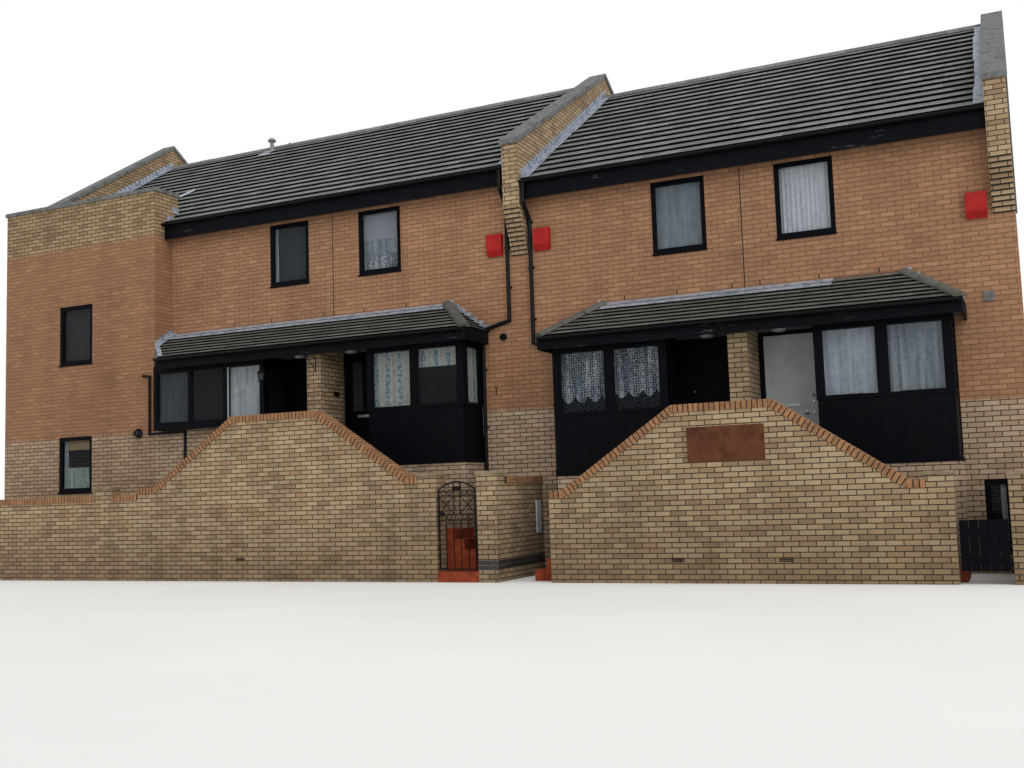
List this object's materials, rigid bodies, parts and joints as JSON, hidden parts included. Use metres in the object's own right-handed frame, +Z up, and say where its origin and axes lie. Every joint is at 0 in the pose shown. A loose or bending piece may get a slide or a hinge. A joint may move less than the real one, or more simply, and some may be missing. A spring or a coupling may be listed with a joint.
{
  "type": "terraced house row",
  "caption": "Brick terraced house row with timber bays, raised porches, twin stairs behind curved garden walls, gates and tiled roofs.",
  "frame": {"origin": "middle of the row's footprint at the ground", "axes": "+X along the street front towards the lower pair of houses, +Y from the street into the houses, +Z up"},
  "size_m": [19.775, 10.805, 10.4757],
  "materials": {
    "concrete": "rough",
    "floor_boards": "matt",
    "buff_brick": "rough",
    "orange_brick": "rough",
    "dark_coping": "rough",
    "roof_tile": "matt",
    "black_paint": "painted, satin",
    "black_plastic": "satin",
    "glass": "clear",
    "grey_paint": "painted, satin",
    "edge_brick": "rough",
    "red_concrete": "matt",
    "stone": "rough",
    "black_iron": "satin",
    "red_plastic": "satin",
    "white_plastic": "satin"
  },
  "bodies": {
    "house_row": {"ground_floor": "concrete", "upper_floors": "floor_boards", "left_gable_wall": "buff_brick", "mid_party_wall": "orange_brick", "end_party_wall": "orange_brick", "wall_copings": "dark_coping", "block_front_wall": "buff_brick", "block_side_wall": "orange_brick", "block_coping": "dark_coping", "left_front_lower_wall": "buff_brick", "left_front_upper_wall": "orange_brick", "right_front_lower_wall": "buff_brick", "right_front_upper_wall": "orange_brick", "left_rear_wall": "orange_brick", "right_rear_wall": "orange_brick", "left_roof": "roof_tile", "right_roof": "roof_tile", "ridge_tiles": "roof_tile", "fascia_boards": "black_paint", "gutters": "black_plastic", "downpipes": "black_plastic", "left_bay_frames": "black_paint", "right_bay_frames": "black_paint", "bay_panels": "black_paint", "bay_glass": "glass", "left_bay_roof": "roof_tile", "right_bay_roof": "roof_tile", "porch_piers": "buff_brick", "door_frames": "black_paint", "window_frames": "black_paint", "window_glass": "glass", "left_stair_wall": "buff_brick", "right_stair_wall": "buff_brick", "stair_copings": "edge_brick", "left_steps": "red_concrete", "right_steps": "red_concrete", "garden_walls": "buff_brick", "garden_copings": "stone", "gate_pintles": "black_iron", "alarm_boxes": "red_plastic", "wall_lights": "white_plastic"},
    "left_house_1_door_leaf": {"left_house_1_door": "black_paint"},
    "left_house_2_door_leaf": {"left_house_2_door": "black_paint"},
    "right_house_1_door_leaf": {"right_house_1_door": "black_paint"},
    "right_house_2_door_leaf": {"right_house_2_door": "grey_paint"},
    "iron_gate_leaf": {"iron_gate": "black_iron"},
    "boarded_gate_leaf": {"boarded_gate": "black_paint"}
  },
  "joints": [
    {"name": "left_house_1_door_hinge", "type": "hinge", "parent": "house_row", "child": "left_house_1_door_leaf", "pos_m": [-2.0065, -3.4545, 2.9], "axis": [0, 0, -1], "range_deg": [0, 90]},
    {"name": "left_house_2_door_hinge", "type": "hinge", "parent": "house_row", "child": "left_house_2_door_leaf", "pos_m": [-1.5785, -3.4545, 2.9], "axis": [0, 0, 1], "range_deg": [0, 90]},
    {"name": "right_house_1_door_hinge", "type": "hinge", "parent": "house_row", "child": "right_house_1_door_leaf", "pos_m": [5.6885, -3.4545, 2.6], "axis": [0, 0, -1], "range_deg": [0, 90]},
    {"name": "right_house_2_door_hinge", "type": "hinge", "parent": "house_row", "child": "right_house_2_door_leaf", "pos_m": [6.1165, -3.4545, 2.6], "axis": [0, 0, 1], "range_deg": [0, 90]},
    {"name": "iron_gate_hinge", "type": "hinge", "parent": "house_row", "child": "iron_gate_leaf", "pos_m": [1.943, -5.3375, 0.8], "axis": [0, 0, 1], "range_deg": [0, 90]},
    {"name": "boarded_gate_hinge", "type": "hinge", "parent": "house_row", "child": "boarded_gate_leaf", "pos_m": [9.4955, -5.3375, 0.5], "axis": [0, 0, 1], "range_deg": [0, 90]}
  ]
}
